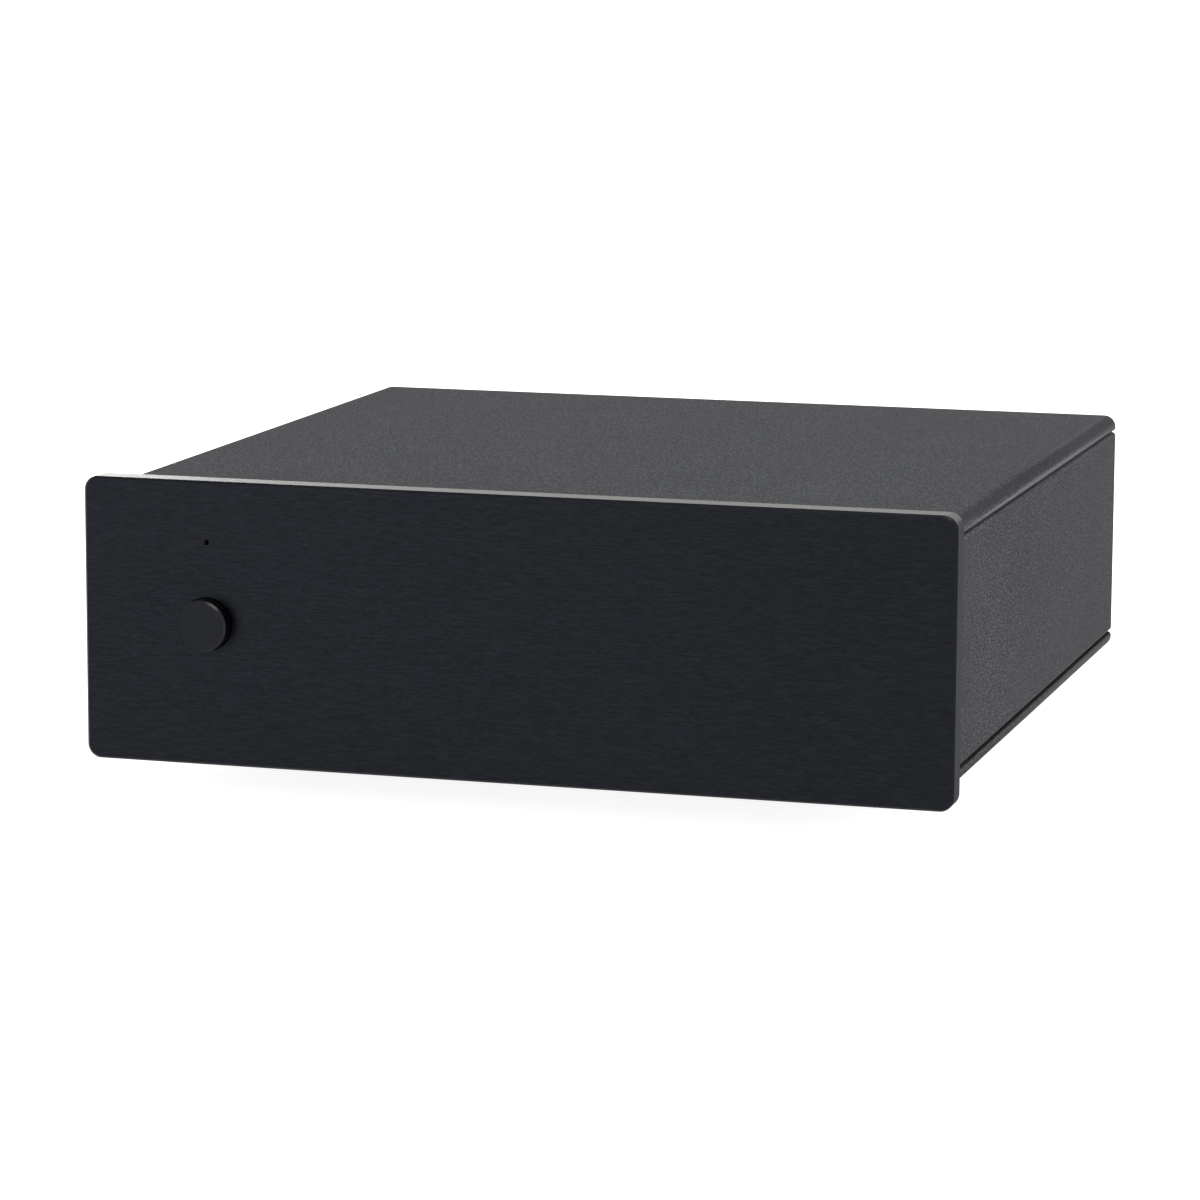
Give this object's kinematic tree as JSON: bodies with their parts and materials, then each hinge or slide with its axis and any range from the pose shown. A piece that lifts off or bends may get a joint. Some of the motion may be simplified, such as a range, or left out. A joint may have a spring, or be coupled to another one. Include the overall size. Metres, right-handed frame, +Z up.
{
  "type": "phono preamplifier",
  "caption": "Small black metal box with a brushed front plate, a round push button, phono sockets, an earth terminal and a supply inlet behind, and setting switches underneath.",
  "frame": {"origin": "on the floor, below the middle of the whole object's box", "axes": "+X right and +Y to the rear, both as seen from in front of the object, +Z up"},
  "size_m": [0.103, 0.1186, 0.037],
  "materials": {
    "brushed_black": "black anodised, brushed along the width, bright milled edge",
    "textured_black": "fine blasted, black anodised",
    "bare_sheet": "mill finish",
    "panel_black": "black anodised, fine satin",
    "button_black": "black anodised, turned, bright bevel",
    "screw_black": "black oxide",
    "screw_zinc": "zinc plated",
    "foot_rubber": "matt",
    "plunger_white": "moulded",
    "spring_steel": "drawn wire",
    "switch_plastic": "moulded",
    "board_green": "solder mask",
    "tinned_pin": "tinned",
    "led_lens": "clear tinted",
    "spacer_black": "moulded",
    "capacitor_sleeve": "shrink sleeve",
    "film_red": "moulded box",
    "chip_black": "moulded epoxy",
    "relay_cream": "moulded",
    "resistor_body": "lacquered",
    "regulator_body": "moulded epoxy on a tinned tab",
    "sink_black": "black anodised",
    "socket_plastic": "moulded",
    "gold_plate": "gold plated, turned",
    "insulator_white": "moulded",
    "insulator_red": "moulded",
    "inlet_plastic": "moulded",
    "nickel_pin": "nickel plated",
    "dip_housing": "moulded",
    "slider_white": "moulded"
  },
  "bodies": {
    "case": {"amplifier_chips": "chip_black", "base_cover": "textured_black", "dc_jack_body": "inlet_plastic", "dc_jack_pin": "nickel_pin", "dip_bodies": "dip_housing", "dip_leads": "tinned_pin", "film_capacitors": "film_red", "foot_front_left": "foot_rubber", "foot_front_right": "foot_rubber", "foot_rear_left": "foot_rubber", "foot_rear_right": "foot_rubber", "foot_screws": "screw_zinc", "front_board": "board_green", "front_board_pins": "tinned_pin", "front_plate": "brushed_black", "front_plate_screws": "screw_zinc", "ground_inner_nut": "screw_zinc", "ground_solder_tag": "tinned_pin", "ground_stud": "gold_plate", "inner_front_panel": "bare_sheet", "inner_panel_screws": "screw_zinc", "input_socket_block": "socket_plastic", "jack_barrels": "gold_plate", "jack_contacts": "gold_plate", "led_spacer": "spacer_black", "left_jack_insulators": "insulator_white", "left_rail": "textured_black", "main_board": "board_green", "muting_relays": "relay_cream", "output_socket_block": "socket_plastic", "rear_panel": "panel_black", "rear_panel_screws": "screw_black", "regulator_heat_sink": "sink_black", "regulator_screws": "screw_zinc", "right_jack_insulators": "insulator_red", "right_rail": "textured_black", "signal_resistors": "resistor_body", "socket_block_screws": "screw_black", "status_led": "led_lens", "supply_capacitors": "capacitor_sleeve", "switch_body": "switch_plastic", "switch_spring": "spring_steel", "top_cover": "textured_black", "voltage_regulators": "regulator_body"},
    "power_button": {"power_button": "button_black", "switch_plunger": "plunger_white"},
    "terminal_washer": {"ground_washer": "gold_plate"},
    "thumb_nut": {"ground_thumb_nut": "gold_plate"},
    "left_dip_slider_1_body": {"left_dip_slider_1": "slider_white"},
    "left_dip_slider_2_body": {"left_dip_slider_2": "slider_white"},
    "left_dip_slider_3_body": {"left_dip_slider_3": "slider_white"},
    "left_dip_slider_4_body": {"left_dip_slider_4": "slider_white"},
    "left_dip_slider_5_body": {"left_dip_slider_5": "slider_white"},
    "left_dip_slider_6_body": {"left_dip_slider_6": "slider_white"},
    "right_dip_slider_1_body": {"right_dip_slider_1": "slider_white"},
    "right_dip_slider_2_body": {"right_dip_slider_2": "slider_white"},
    "right_dip_slider_3_body": {"right_dip_slider_3": "slider_white"},
    "right_dip_slider_4_body": {"right_dip_slider_4": "slider_white"},
    "right_dip_slider_5_body": {"right_dip_slider_5": "slider_white"},
    "right_dip_slider_6_body": {"right_dip_slider_6": "slider_white"}
  },
  "joints": [
    {"name": "power_button_press", "type": "slide", "parent": "case", "child": "power_button", "axis": [0, 1, 0], "range_m": [0, 0.0018], "stiffness_N_per_m": 600, "springref_m": -0.0015, "deforming": ["switch_spring"]},
    {"name": "terminal_washer_lift", "type": "slide", "parent": "case", "child": "terminal_washer", "axis": [0, 1, 0], "range_m": [0, 0.0035]},
    {"name": "thumb_nut_turn", "type": "hinge", "parent": "terminal_washer", "child": "thumb_nut", "pos_m": [0.0062, 0.0473, 0.0226], "axis": [0, 1, 0], "range_deg": [0, 1810]},
    {"name": "left_dip_slider_1_travel", "type": "slide", "parent": "case", "child": "left_dip_slider_1_body", "axis": [0, 1, 0], "range_m": [0, 0.0018]},
    {"name": "left_dip_slider_2_travel", "type": "slide", "parent": "case", "child": "left_dip_slider_2_body", "axis": [0, 1, 0], "range_m": [0, 0.0018]},
    {"name": "left_dip_slider_3_travel", "type": "slide", "parent": "case", "child": "left_dip_slider_3_body", "axis": [0, 1, 0], "range_m": [0, 0.0018]},
    {"name": "left_dip_slider_4_travel", "type": "slide", "parent": "case", "child": "left_dip_slider_4_body", "axis": [0, 1, 0], "range_m": [0, 0.0018]},
    {"name": "left_dip_slider_5_travel", "type": "slide", "parent": "case", "child": "left_dip_slider_5_body", "axis": [0, 1, 0], "range_m": [0, 0.0018]},
    {"name": "left_dip_slider_6_travel", "type": "slide", "parent": "case", "child": "left_dip_slider_6_body", "axis": [0, 1, 0], "range_m": [0, 0.0018]},
    {"name": "right_dip_slider_1_travel", "type": "slide", "parent": "case", "child": "right_dip_slider_1_body", "axis": [0, 1, 0], "range_m": [0, 0.0018]},
    {"name": "right_dip_slider_2_travel", "type": "slide", "parent": "case", "child": "right_dip_slider_2_body", "axis": [0, 1, 0], "range_m": [0, 0.0018]},
    {"name": "right_dip_slider_3_travel", "type": "slide", "parent": "case", "child": "right_dip_slider_3_body", "axis": [0, 1, 0], "range_m": [0, 0.0018]},
    {"name": "right_dip_slider_4_travel", "type": "slide", "parent": "case", "child": "right_dip_slider_4_body", "axis": [0, 1, 0], "range_m": [0, 0.0018]},
    {"name": "right_dip_slider_5_travel", "type": "slide", "parent": "case", "child": "right_dip_slider_5_body", "axis": [0, 1, 0], "range_m": [0, 0.0018]},
    {"name": "right_dip_slider_6_travel", "type": "slide", "parent": "case", "child": "right_dip_slider_6_body", "axis": [0, 1, 0], "range_m": [0, 0.0018]}
  ],
  "couplings": [
    {"joint": "thumb_nut_turn", "follows": "terminal_washer_lift", "rad_per_m": 8976}
  ]
}
